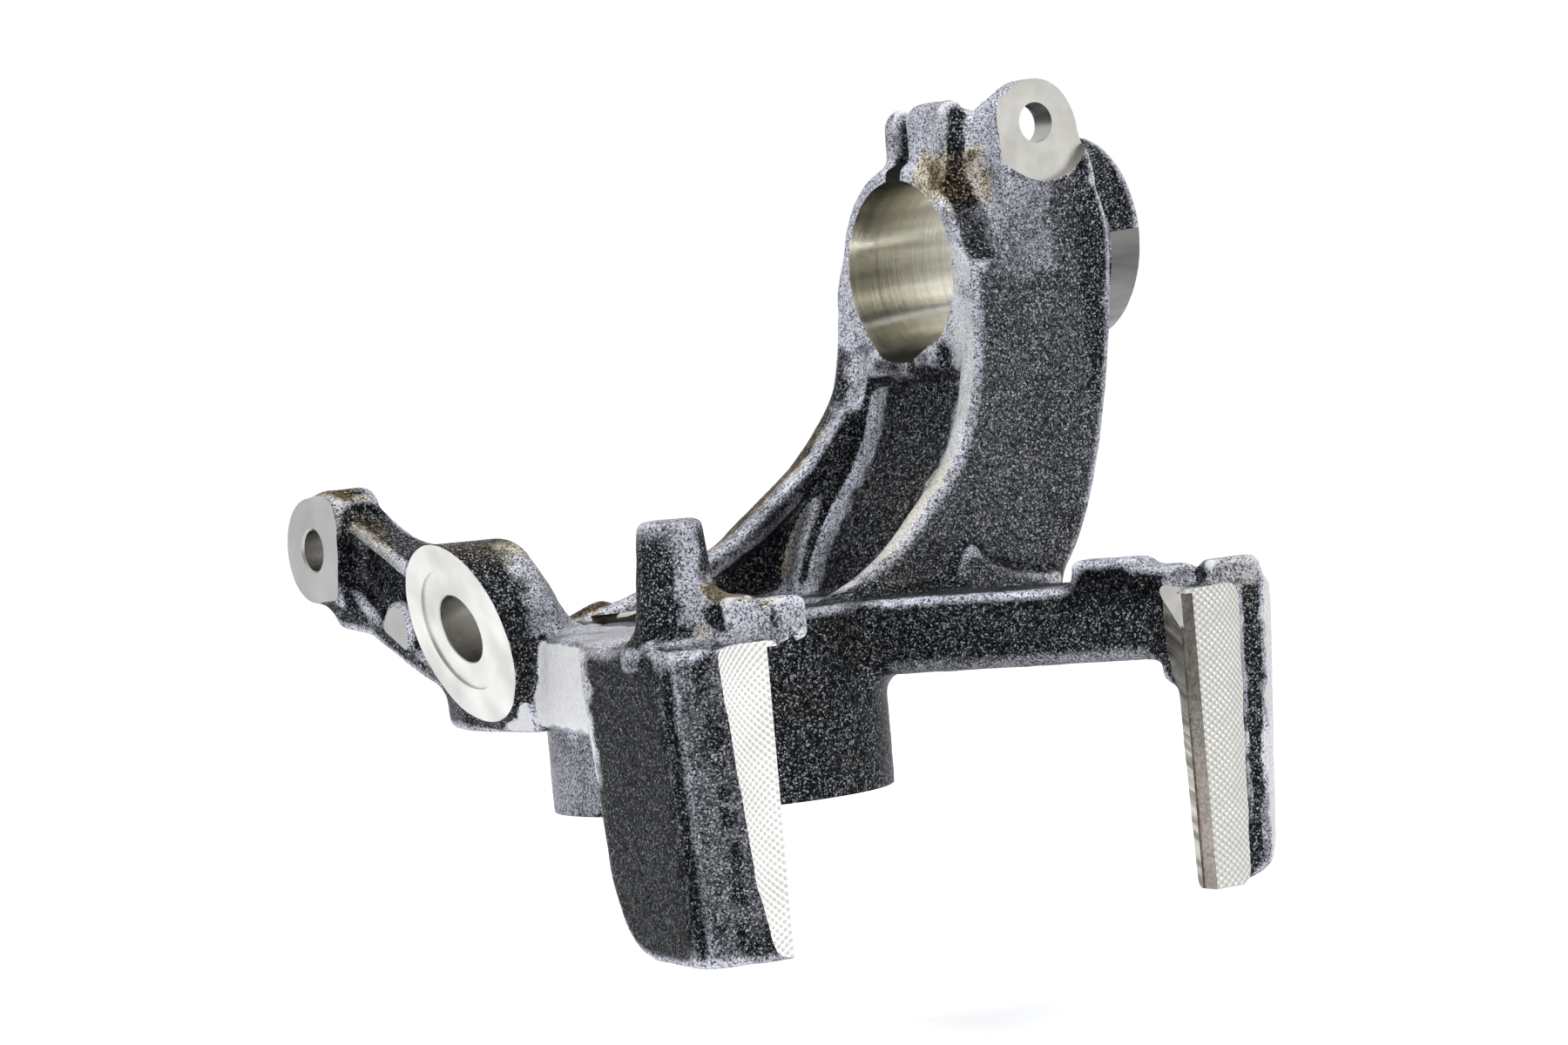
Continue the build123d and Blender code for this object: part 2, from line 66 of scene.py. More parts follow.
BJ_AT, EYE_AT = (BJ_X, 0, BJ_Z), (EYE_X, EYE_Y, EYE_Z)
PINCH_AT, RING_AT = (PINCH_X, 0, PINCH_Z), (RING_X0, 0, RING_Z)


# ---- small mesh makers, all in mm: (points, faces) -----------------------
def basis(direction):
    """Rotation whose third column is the direction."""
    w = Vector(direction).normalized()
    up = Vector((0, 0, 1)) if abs(w.z) < 0.9 else Vector((0, 1, 0))
    u = up.cross(w).normalized()
    v = w.cross(u)
    return Matrix((u, v, w)).transposed()


def lathe(profile, origin, direction, sides=128):
    """Closed solid turned from (radius, height) points about an axis."""
    rot, base = basis(direction), Vector(origin)
    pts, faces, rings = [], [], []
    for r, h in profile:
        if r < 1e-6:
            rings.append([len(pts)])
            pts.append(base + rot @ Vector((0, 0, h)))
        else:
            rings.append(list(range(len(pts), len(pts) + sides)))
            for i in range(sides):
                a = 2 * math.pi * i / sides
                pts.append(base + rot @ Vector((r * math.cos(a), r * math.sin(a), h)))
    # each pair of rings is joined by quads, or by triangles at a pole
    for a, b in zip(rings, rings[1:]):
        for i in range(sides):
            j = (i + 1) % sides
            if len(a) == 1 and len(b) > 1:
                faces.append((a[0], b[j], b[i]))
            elif len(b) == 1 and len(a) > 1:
                faces.append((a[i], a[j], b[0]))
            elif len(a) > 1:
                faces.append((a[i], a[j], b[j], b[i]))
    return pts, faces


def rod(r, h0, h1, origin, direction, sides=128):
    """Cylinder between two heights above the origin."""
    return lathe([(0, h0), (r, h0), (r, h1), (0, h1)], origin, direction, sides)


def between(lower, upper):
    """Closed solid between two outlines with as many points."""
    n = len(lower)
    faces = [tuple(range(n - 1, -1, -1)), tuple(range(n, 2 * n))]
    faces += [(i, (i + 1) % n, n + (i + 1) % n, n + i) for i in range(n)]
    return lower + upper, faces


def prism(outline, lo, hi, axis):
    """Solid from an outline in the other two axes, between two planes."""
    def at(p, h):
        if axis == "X":
            return Vector((h, p[0], p[1]))
        if axis == "Y":
            return Vector((p[0], h, p[1]))
        return Vector((p[0], p[1], h))
    return between([at(p, lo) for p in outline], [at(p, hi) for p in outline])


def block(x0, x1, y0, y1, z0, z1):
    return prism([(x0, y0), (x1, y0), (x1, y1), (x0, y1)], z0, z1, "Z")


def tilted_block(centre, size, direction):
    """Box whose local Z lies along a direction."""
    pts, faces = block(*[v for s in size for v in (-s / 2, s / 2)])
    rot = basis(direction)
    return [Vector(centre) + rot @ p for p in pts], faces


def beyond(point, normal, size=40.0):
    """Box on the outer side of a plane through the point."""
    n = Vector(normal).normalized()
    return tilted_block(Vector(point) + n * size / 2, (size, size, size), n)


def loft_prism(end, top, z0, z1):
    """Solid from one outline in X and Y to another above it."""
    return between([Vector((x, y, z0)) for x, y in end],
                   [Vector((x, y, z1)) for x, y in top])


def to_mesh(name, shape, scale=MM):
    """Mesh of a (points, faces) shape, its faces turned outward."""
    mesh = bpy.data.meshes.new(name)
    mesh.from_pydata([p * scale for p in shape[0]], [], shape[1])
    mesh.validate()
    bm = bmesh.new()
    bm.from_mesh(mesh)
    bmesh.ops.recalc_face_normals(bm, faces=bm.faces)
    bm.to_mesh(mesh)
    bm.free()
    return mesh


def arrays(mesh, scale):
    """Points and triangles of a mesh."""
    mesh.calc_loop_triangles()
    co = np.empty(len(mesh.vertices) * 3, np.float32)
    mesh.vertices.foreach_get("co", co)
    tri = np.empty(len(mesh.loop_triangles) * 3, np.int32)
    mesh.loop_triangles.foreach_get("vertices", tri)
    return co.reshape(-1, 3) * scale, tri.reshape(-1, 3)


def join(parts):
    """Several (points, triangles) as one."""
    points, tris, base = [], [], 0
    for p, t in parts:
        points.append(p)
        tris.append(t + base)
        base += len(p)
    return np.concatenate(points), np.concatenate(tris)


# ---- the cast skin: a distance field closed, opened and smoothed ---------
def field(points, tris, quads, reach):
    """Distance field of a surface, wide enough for a shift by the reach."""
    half = max(3.0, reach / VOXEL + 1.5)
    return vdb.FloatGrid.createLevelSetFromPolygons(
        points.astype(np.float32), triangles=tris, quads=quads,
        transform=vdb.createLinearTransform(voxelSize=VOXEL), halfWidth=half)


def shift(points, tris, quads, distance):
    """Surface moved out by a distance (in, when it is negative)."""
    grid = field(points, tris, quads, abs(distance))
    return grid.convertToQuads(isovalue=distance)


NO_TRIS = np.zeros((0, 3), np.int32)


def walk(p, q, steps):
    """Surface shifted step by step, which closes or opens its corners."""
    for d in steps:
        p, q = shift(p, NO_TRIS, q, d)
    return p, q


def split(quads):
    """Two triangles for each quad."""
    return np.concatenate([quads[:, [0, 1, 2]], quads[:, [0, 2, 3]]])


def boolean(shell, shapes, operation):
    """The shell met or cut by each convex shape; DIFFERENCE goes on from cut to cut."""
    found = []
    for shape in shapes:
        body = bpy.data.meshes.new("a")
        body.from_pydata(shell[0].tolist(), [], shell[1].tolist())
        obj = bpy.data.objects.new("a", body)
        tool = bpy.data.objects.new("b", to_mesh("b", shape, 1.0))
        for o in (obj, tool):
            bpy.context.scene.collection.objects.link(o)
        mod = obj.modifiers.new("cut", "BOOLEAN")
        mod.operation, mod.solver, mod.object = operation, "MANIFOLD", tool
        applied(obj)
        found.append(arrays(obj.data, 1.0))
        for o in (obj, tool):
            data = o.data
            bpy.data.objects.remove(o)
            bpy.data.meshes.remove(data)
        if operation == "DIFFERENCE":
            shell = found[-1]
    return found


def round_edges(points, tris, swept, worn):
    """Casting's skin: wide fillets in the swept boxes, worn edges in the worn boxes,
    small ones elsewhere."""
    p, q = shift(points, tris, None, 0.0)
    wide = walk(p, q, (SWEPT_R, -SWEPT_R))
    wide = (wide[0], split(wide[1])[:, ::-1])
    p, t = join([(p, split(q))] + boolean(wide, swept, "INTERSECT"))
    p, q = shift(p, t, None, 0.0)
    soft = walk(p, q, (-WORN_R, WORN_R))
    shell = (p, split(q)[:, ::-1])
    soft = (soft[0], split(soft[1])[:, ::-1])
    p, t = join(boolean(shell, worn, "DIFFERENCE")[-1:] + boolean(soft, worn, "INTERSECT"))
    p, q = shift(p, t, None, 0.0)
    return walk(p, q, (FILLET_R, -FILLET_R - ROUND_R, ROUND_R))


def applied(obj):
    """The object's modifiers go into its mesh."""
    dg = bpy.context.evaluated_depsgraph_get()
    new = bpy.data.meshes.new_from_object(obj.evaluated_get(dg))
    obj.modifiers.clear()
    old = obj.data
    obj.data = new
    bpy.data.meshes.remove(old)


def way_stock(side, end_width, top_width, depth):
    """Stock on a way's face, wider at its head than at its end."""
    def outline(width):
        return [(side * x, WAY_Y + y) for x, y in (
            (WAY_X - 2.5, -2.5), (WAY_X + width, -2.5), (WAY_X + width, 4),
            (WAY_X + 3, depth), (WAY_X - 2.5, depth))]
    return loft_prism(outline(end_width), outline(top_width), WAY_END, WAY_TOP)


tilt_bj = (math.cos(math.radians(BJ_TILT)), 0, math.sin(math.radians(BJ_TILT)))
tilt_ring = (math.cos(math.radians(RING_TILT)), 0, math.sin(math.radians(RING_TILT)))
LEFT_WAY_STOCK = 1                            # its place in the list below
stock = [
    way_stock(1, 11.6, 16.3, 8),
    way_stock(-1, 7.4, 16.3, 10),
    # bores are cast solid, then cut
    rod(HUB_BORE_R + 4, -4, FLANGE_Z - 6, ORIGIN, Z_AXIS, 96),
    rod(HUB_R - 0.3, -4, 5, ORIGIN, Z_AXIS, 96),
    rod(15.0, -WALL_Y - 2.2, -WALL_Y + 6, (PINCH_X, 0, PINCH_Z - 1.0), Y_AXIS, 96),
    prism([(99.0, 205.5), (103.0, 207.0), (125.0, 203.0), (131.0, 190.0), (133.0, 180.0),
           (104.5, 178.0), (99.5, 189.0)], -WALL_Y - 2.2, -WALL_Y + 6, "Y"),
    rod(EYE_R + 4, -3.0, EYE_T - 1, EYE_AT, X_AXIS, 48),
    rod(EYE_OUT_R - 0.2, -3.0, 6, EYE_AT, X_AXIS, 96),
    rod(BJ_R + 5, -4, BJ_L + 2, BJ_AT, tilt_bj, 64),
    rod(BJ_BOSS_R, -28, 6, (BJ_X + 14, 0, BJ_Z - 1.0), X_AXIS, 96),
    rod(RING_BORE_R + 3.5, 3, RING_L - 3, RING_AT, tilt_ring, 96),
    # small cast reliefs: bar and lugs under the ring, thick lip of the far wall,
    # gusset at the near wall's foot
    block(80.4, 92, -3, 21, 124.2, 131.5),
    block(79.4, 92, -19.5, -7, 127.0, 133.5),
    prism([(-21, 124.6), (6, 121.8), (6, 123.4), (-21, 126.4)], 82.0, 92.0, "X"),
    prism([(-22, 60.0), (14.0, 71.2), (29.5, 78.6), (44.0, 88.8), (59.0, 99.6), (69.0, 109.8),
           (74.0, 117.0), (78.0, 113.0), (66.0, 97.0), (52.0, 85.0), (40.0, 76.5),
           (14.0, 63.0), (-22, 54.0)], 24.5, 33.0, "Y"),
    prism([(60, 56), (64, 63), (69, 69.5), (72, 70), (78, 64.5), (88, 60.8), (104, 58.5),
           (104, 56)], -44.5, -38, "Y"),
]

# planes that draw in the left way's lower tip, and the gap between its two lugs
tip = [beyond((-83.2, WAY_Y, -15.0), (-0.93, -0.20, -0.30)),
       beyond((-81.0, WAY_Y, -24.0), (-0.80, -0.30, -0.52)),
       beyond((-77.5, WAY_Y, -31.0), (-0.60, -0.30, -0.74))]
LUG_GAP = block(-76.3, -70.2, -152, -136.5, 59.5, 75)

casting = arrays(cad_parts["knuckle_casting"].data, 1 / MM)
casting = boolean(casting, tip + [LUG_GAP], "DIFFERENCE")[-1]
parts = [casting]
for s in stock:
    m = to_mesh("stock", s, 1.0)
    parts.append(arrays(m, 1.0))
    bpy.data.meshes.remove(m)
parts[1 + LEFT_WAY_STOCK] = boolean(parts[1 + LEFT_WAY_STOCK], tip, "DIFFERENCE")[-1]
swept = [
    block(40, 98, -33, -8, 60, 118),          # web into the near wall
    block(80, 130, -46, -14, 140, 206),       # ring and ear into the near wall
    block(15, 112, -58, -36, 52, 80),         # near wall's foot on the arm
    block(-112, -68, -144, -104, 52, 72),     # root of the peg
    block(-66, -20, -32, 50, 52, 76),         # ball-joint boss into the body
    block(14, 75, -75, -30, 20, 50),          # arm into the housing
]
worn = [
    block(87, 124, -48, -14, 158, 199),       # ear between ring and bolt tab
    block(-78, -40, -40, 40, 68, 100),        # back of the ball-joint boss
    block(99.5, 114, -154, -122, -40, 54),    # outer corner of the right way
]
points, quads = round_edges(*join(parts), swept, worn)


def relax(points, quads, weight):
    """Each point moved by a share of the way to the middle of its neighbours."""
    e = np.concatenate([quads[:, [k, (k + 1) % 4]] for k in range(4)])
    n = len(points)
    count = np.bincount(e[:, 0], minlength=n) + np.bincount(e[:, 1], minlength=n)
    total = np.zeros((n, 3))
    for k in range(3):
        total[:, k] = (np.bincount(e[:, 0], points[e[:, 1], k], n)
                       + np.bincount(e[:, 1], points[e[:, 0], k], n))
    return points + weight * (total / np.maximum(count, 1)[:, None] - points)


for weight in (0.6, -0.35) * 3:               # smoothed, and swelled back
    points = relax(points, quads, weight)

skin = bpy.data.meshes.new("skin")
skin.from_pydata((points * MM).tolist(), [], quads[:, ::-1].tolist())
skin.update()


def places_and_normals(mesh):
    """Vertices in mm, and their normals."""
    n = len(mesh.vertices)
    co, no = np.empty(n * 3), np.empty(n * 3)
    mesh.vertices.foreach_get("co", co)
    mesh.vertices.foreach_get("normal", no)
    return co.reshape(-1, 3) / MM, no.reshape(-1, 3)


def bending(mesh, rounds):
    """Vertices in mm, and how each bends: 0.5 is flat, more is an outer edge."""
    n = len(mesh.vertices)
    co, no = places_and_normals(mesh)
    e = np.empty(len(mesh.edges) * 2, np.int32)
    mesh.edges.foreach_get("vertices", e)
    e = e.reshape(-1, 2)
    d = co[e[:, 0]] - co[e[:, 1]]
    k = (d * (no[e[:, 0]] - no[e[:, 1]])).sum(axis=1) / np.maximum((d * d).sum(axis=1), 0.2)
    deg = np.maximum(np.bincount(e.ravel(), minlength=n), 1)
    for _ in range(rounds):
        v = (np.bincount(e[:, 0], k, n) + np.bincount(e[:, 1], k, n)) / deg
        k = 0.5 * (v[e[:, 0]] + v[e[:, 1]])
    return co, np.clip(0.5 + 1.5 * v, 0.0, 1.0)


bend_at, bend_and_highlight = bending(skin, 4)

# slow unevenness of the sand mould
LUMPS = ((7.0, 0.16), (2.6, 0.07))            # mm, length and height of the waves
normals = places_and_normals(skin)[1]
lump = np.array([sum(noise.noise(Vector(p) / length) * height for length, height in LUMPS)
                 for p in points])
uneven = (points + normals * lump[:, None]) * MM
skin.vertices.foreach_set("co", uneven.astype(np.float32).ravel())
skin.update()


# ---- machining -----------------------------------------------------------
def material(name):
    m = bpy.data.materials.new(name)
    m.use_nodes = True
    return m


MATS = {n: material(n) for n in (
    "cast_skin", "milled_way", "milled_face", "turned_bore", "faced_boss", "drilled",
    "milled_step", "slot_face", "milled_eye", "turned_outer", "milled_tab")}
knuckle = bpy.data.objects.new("knuckle", skin)
bpy.context.scene.collection.objects.link(knuckle)
skin.materials.append(MATS["cast_skin"])
skin.validate()
fewer = knuckle.modifiers.new("fewer", "DECIMATE")
fewer.ratio = min(1.0, SKIN_FACES / (2 * len(quads)))
applied(knuckle)


def cut(shape, slot):
    """The shape taken away, its cut faces in a material."""
    mesh = to_mesh("cutter", shape)
    mesh.materials.append(MATS[slot])
    tool = bpy.data.objects.new("cutter", mesh)
    bpy.context.scene.collection.objects.link(tool)
    mod = knuckle.modifiers.new("cut", "BOOLEAN")
    mod.operation, mod.solver, mod.object = "DIFFERENCE", "MANIFOLD", tool
    mod.material_mode = "TRANSFER"
    applied(knuckle)
    bpy.data.objects.remove(tool)
    bpy.data.meshes.remove(mesh)


# faces of the ways, and the lands that face each other, with a step and a chamfer
cut(block(-130, 130, -175, WAY_Y, -60, 90), "milled_way")
LAND_TOP = WAY_TOP - 1.5
cut(block(-WAY_X, WAY_X, WAY_Y - 12, WAY_Y + 14, -60, LAND_TOP), "milled_face")
for side in (-1, 1):
    x = sorted((side * (WAY_X - 20), side * (WAY_X + 0.45)))
    cut(block(*x, WAY_Y - 5, WAY_Y + 6.4, WAY_END - 10, LAND_TOP), "milled_step")
    cut(beyond((side * (WAY_X - 0.8), WAY_Y + 13.5, 50.5), (-side * 0.80, -0.45, 0.40), 15.0),
        "faced_boss")

# housing: its end, and the bearing's bore with a lead-in, a groove and a shoulder
HUB_LEAD = 2.2
cut(block(-80, 80, -80, 80, -40, 0), "faced_boss")
cut(lathe([(0, -8), (HUB_BORE_R + HUB_LEAD, -8), (HUB_BORE_R + HUB_LEAD, 0),
           (HUB_BORE_R, HUB_LEAD),
           (HUB_BORE_R, GROOVE_Z0), (HUB_BORE_R + GROOVE_DEPTH, GROOVE_Z0 + 0.3),
           (HUB_BORE_R + GROOVE_DEPTH, GROOVE_Z1 - 0.3), (HUB_BORE_R, GROOVE_Z1),
           (HUB_BORE_R, HUB_SEAT_L), (HUB_RELIEF_R, HUB_SEAT_L),
           (HUB_RELIEF_R, FLANGE_Z - 1), (HUB_RELIEF_R + 2, FLANGE_Z + 1),
           (0, FLANGE_Z + 1)],
          ORIGIN, Z_AXIS, 160), "turned_bore")

# strut clamp: bore, turned far end, slot, spot face and bolt hole
cut(lathe([(0, -30), (RING_BORE_R + LEAD_R, -30), (RING_BORE_R + LEAD_R, 0.5),
           (RING_BORE_R, LEAD_L), (RING_BORE_R, RING_L + 60), (0, RING_L + 60)],
          RING_AT, tilt_ring, 160), "turned_bore")
arc = [math.radians(a) for a in range(-183, 11, 3)]
turned = [(r * math.cos(a), r * math.sin(a)) for r, way in
          ((RING_R - 1.2, arc), (RING_R + 12, arc[::-1])) for a in way]
pts, faces = prism(turned, RING_L - 13.0, RING_L + 20.0, "Z")
rot = basis(tilt_ring)
cut(([Vector(RING_AT) + rot @ pt for pt in pts], faces), "turned_outer")
cut(block(70, 170, -SLOT / 2, SLOT / 2, RING_Z + 17.3, RING_Z + 80), "slot_face")
cut(rod(SPOT_R, -70, PINCH_FACE, PINCH_AT, Y_AXIS, 128), "milled_tab")
cut(rod(PINCH_R, -60, 45, PINCH_AT, Y_AXIS, 96), "drilled")

# ball joint: face, hole, ring on the face and nut seat
BJ_BEVEL = 1.0
cut(rod(BJ_BOSS_R + 6, -40, 0, BJ_AT, tilt_bj, 128), "faced_boss")
cut(lathe([(0, -10), (BJ_R + BJ_BEVEL, -10), (BJ_R + BJ_BEVEL, 0), (BJ_R, BJ_BEVEL),
           (BJ_R, 60), (0, 60)],
          BJ_AT, tilt_bj, 128), "drilled")
cut(rod(BJ_SEAT_R + 1.8, -5, 0.7, BJ_AT, tilt_bj, 128), "faced_boss")
cut(rod(9.0, -12, 0.3, (-75.0, 64.5, 60.0), X_AXIS, 64), "milled_eye")   # spot on the arm
cut(rod(BJ_SEAT_R, BJ_L, BJ_L + 30, BJ_AT, tilt_bj, 96), "milled_face")

# steering arm: eye's face and hole
EYE_BEVEL = 0.7
cut(block(EYE_X - 20, EYE_X, EYE_Y - 20, EYE_Y + 25, 50, 115), "milled_eye")
cut(lathe([(0, -8), (EYE_R + EYE_BEVEL, -8), (EYE_R + EYE_BEVEL, 0), (EYE_R, EYE_BEVEL),
           (EYE_R, 50), (0, 50)],
          EYE_AT, X_AXIS, 96), "drilled")

# crisp shading where a machined face meets the skin
mesh = knuckle.data
mesh.update()
mesh.polygons.foreach_set("use_smooth", np.ones(len(mesh.polygons), bool))
bm = bmesh.new()
bm.from_mesh(mesh)
for e in bm.edges:
    f = e.link_faces
    if len(f) != 2 or f[0].material_index != f[1].material_index:
        e.smooth = False
    else:
        limit = CREASE_CUT if f[0].material_index > 0 else CREASE_SKIN
        if e.calc_face_angle(0.0) > limit:
            e.smooth = False
bm.to_mesh(mesh)
open_edges = sum(1 for e in bm.edges if len(e.link_faces) != 2)
bm.free()
print("knuckle", len(mesh.polygons), "polygons, open edges", open_edges)


# how sharply the skin bends, carried over from the smooth skin to the finished one
tree = kdtree.KDTree(len(bend_at))
for i, pt in enumerate(bend_at):
    tree.insert(pt, i)
tree.balance()
value = bend_and_highlight[[tree.find(v.co / MM)[1] for v in mesh.vertices]]

# painted highlights: faces lightened, and plain pale where the level is highest, on the sides
# that the light falls on:
# box in mm (x, x, y, y, z, z), outward direction, least cosine with it, highlight level they are
# given
PAINTED_HIGHLIGHTS = [
    ((-120, -52, -90, 0, 14, 64), (-1, -0.1, 0), 0.70, 1.00),        # housing's left side
    ((-66, -14, -66, 46, -11, 36), (-0.9, 0.4, 0), 0.50, 0.66),      # housing, below the boss
    ((9, 102, -52, -22, 56, 172), (-0.85, 0, 0.5), 0.70, 0.88),      # near wall's inner edge
    ((-122, -46, -108, -8, 48, 74), (0, 0, 1), 0.60, 0.73),          # ledge behind the peg
    ((-116, 124, -156, -89, 54, 86), (0, 0, 1), 0.66, 0.74),         # top of the web
    ((-36, 90, 12, 34, 46, 136), (-0.7, 0, 0.7), 0.40, 0.76),        # far wall's inner lip
    ((76, 131, -48, 16, 176, 221), (-0.3, -0.2, 1), 0.66, 0.70),     # lugs beside the slot
    ((90, 120, -52, -14, 148, 188), (-0.6, -0.8, 0.2), 0.30, 0.66),  # ear
    ((20, 131, -66, -24, 50, 206), (0, -1, 0), 0.70, 0.592),         # near wall
    ((-116, -66, -156, -96, 56, 116), (-0.10, -1, 0.1), 0.82, 0.70),   # peg's lit side
    ((-120, -62, -156, -96, 78, 118), (-0.2, -0.3, 1), 0.55, 0.74),    # peg's top
    ((60, 106, -52, 52, 131, 214), (-1, 0, 0), 0.55, 0.79),          # ring's front
    ((-84, -36, -46, 26, 46, 100), (0.3, -0.8, 0.5), 0.66, 0.71),    # ball-joint boss
    ((-96, 124, -156, -94, 52, 80), (0, -0.7, 0.7), 0.55, 0.68),     # web's upper edge
    ((-40, 90, -156, -94, 8, 40), (0, -0.6, -0.8), 0.50, 0.64),      # web's lower edge
    ((88, 126, -160, -131, -44, 66), (0.88, -0.47, 0), 0.57, 0.92),  # right way's outer edge
    ((-112, -78, -160, -124, -44, 60), (-0.5, -0.85, 0), 0.80, 0.602),  # left way's outer edge
    ((109, 171, -66, -4, 114, 206), (0.75, -0.6, 0.2), 0.66, 0.68),  # clamp's far end
    ((66, 122, -158, -110, 50, 72), (0, -1, 0.3), 0.60, 0.68),       # lugs of the right way
]
# faces with a brown film, oily and rusty, which also gives their highlights a painted warm tint,
# in the same terms
OIL_AND_WARM_SHEEN = [
    ((-46, 101, 27, 66, 44, 112), (-0.7, 0, 0.7), 0.25, 1.0),
    ((78, 99, -50, -10, 174, 196), (-0.5, -0.8, 0.3), 0.15, 0.80),
    ((9, 76, -50, -22, 50, 118), (-0.85, 0, 0.5), 0.74, 0.52),
    ((-110, -64, 14, 116, 84, 116), (0, -0.2, 1), 0.45, 0.85),
    ((-104, -60, -30, 34, 78, 108), (-0.3, -0.2, 1), 0.45, 0.60),
    ((-93, -68, -154, -124, 58, 78), (0, -0.2, 1), 0.45, 0.75),
]
# and faces darkened with painted shade, in the same terms
PAINTED_SHADE = [
    ((-131, -70, -157, -84, -66, 66), (-1, 0, 0), 0.55, 0.55),
    ((-68, 81, -156, -94, 50, 81), (-0.9, -0.3, 0), 0.45, 0.95),
]
co, no = places_and_normals(mesh)
EDGE_COS = 0.15                               # cosine over which a place fades out
RAGGED, RAGGED_MM = 0.7, 5.0                  # how uneven its border is, and how coarsely


def raised(values, floor, places):
    """Values lifted towards a level inside each place, fading at its ragged border."""
    for box, toward, least, level in places:
        depth = (no @ np.array(Vector(toward).normalized()) - least) / EDGE_COS
        for k in range(3):
            depth = np.minimum(depth, (co[:, k] - box[2 * k]) / EDGE)
            depth = np.minimum(depth, (box[2 * k + 1] - co[:, k]) / EDGE)
        for i in np.flatnonzero(depth > 0):
            ragged = depth[i] + RAGGED * noise.noise(Vector(co[i]) / RAGGED_MM)
            lift = min(max(ragged, 0.0), 1.0)
            values[i] = max(values[i], floor + (level - floor) * lift)
    return values


# attributes that carry the painted highlights, the brown film with its painted warm tint, and
# the painted shade
for name, values in (("bend_and_highlight", raised(value, 0.5, PAINTED_HIGHLIGHTS)),
                     ("oil_and_sheen", raised(np.zeros(len(value)), 0.0, OIL_AND_WARM_SHEEN)),
                     ("painted_shade", raised(np.zeros(len(value)), 0.0, PAINTED_SHADE))):
    attr = mesh.attributes.new(name, "FLOAT", "POINT")
    attr.data.foreach_set("value", values.astype(np.float32))


# ---- materials -----------------------------------------------------------
class Tree:
    """An emptied node tree, with short ways to add nodes and links."""
    def __init__(self, owner):
        self.tree = owner.node_tree
        self.tree.nodes.clear()

    def new(self, kind, **values):
        node = self.tree.nodes.new(kind)
        for k, v in values.items():
            setattr(node, k, v)
        return node

    def link(self, a, b):
        self.tree.links.new(a, b)

    def math(self, op, a, b=None):
        m = self.new("ShaderNodeMath", operation=op)
        for i, v in enumerate((a, b)):
            if v is None:
                continue
            if isinstance(v, (int, float)):
                m.inputs[i].default_value = v
            else:
                self.link(v, m.inputs[i])
        return m.outputs[0]

    def vector(self, op, source, by, out=0):
        m = self.new("ShaderNodeVectorMath", operation=op)
        self.link(source, m.inputs[0])
        m.inputs[1].default_value = by
        return m.outputs[out]


class Nodes(Tree):
    """Tree of a surface: a principled shader and object coordinates."""
    def __init__(self, mat):
        super().__init__(mat)
        out = self.new("ShaderNodeOutputMaterial")
        self.bsdf = self.new("ShaderNodeBsdfPrincipled")
        self.link(self.bsdf.outputs[0], out.inputs[0])
        self.coord = self.new("ShaderNodeTexCoord").outputs["Object"]

    def attribute(self, name):
        return self.new("ShaderNodeAttribute", attribute_type="GEOMETRY",
                        attribute_name=name).outputs["Fac"]

    def stretched(self, scale):
        return self.vector("MULTIPLY", self.coord, scale)

    def noise(self, scale, detail=2.0, rough=0.5, vector=None):
        n = self.new("ShaderNodeTexNoise")
        n.inputs["Scale"].default_value = scale
        n.inputs["Detail"].default_value = detail
        n.inputs["Roughness"].default_value = rough
        self.link(vector or self.coord, n.inputs["Vector"])
        return n.outputs["Fac"]

    def ramp(self, source, stops):
        r = self.new("ShaderNodeValToRGB")
        cr = r.color_ramp
        while len(cr.elements) < len(stops):
            cr.elements.new(0.5)
        for el, (pos, col) in zip(cr.elements, stops):
            el.position = pos
            el.color = (*col, 1) if len(col) == 3 else col
        self.link(source, r.inputs[0])
        return r.outputs["Color"]

    def mix(self, fac, a, b, blend="MIX"):
        m = self.new("ShaderNodeMix", data_type="RGBA", blend_type=blend)
        if isinstance(fac, (int, float)):
            m.inputs["Factor"].default_value = fac
        else:
            self.link(fac, m.inputs["Factor"])
        for sock, v in ((m.inputs[6], a), (m.inputs[7], b)):
            if isinstance(v, tuple):
                sock.default_value = (*v, 1)
            else:
                self.link(v, sock)
        return m.outputs[2]

    def bump(self, height, strength, distance):
        b = self.new("ShaderNodeBump")
        b.inputs["Strength"].default_value = strength
        b.inputs["Distance"].default_value = distance
        self.link(height, b.inputs["Height"])
        self.link(b.outputs[0], self.bsdf.inputs["Normal"])


def grey(v):
    return (v, v, v)


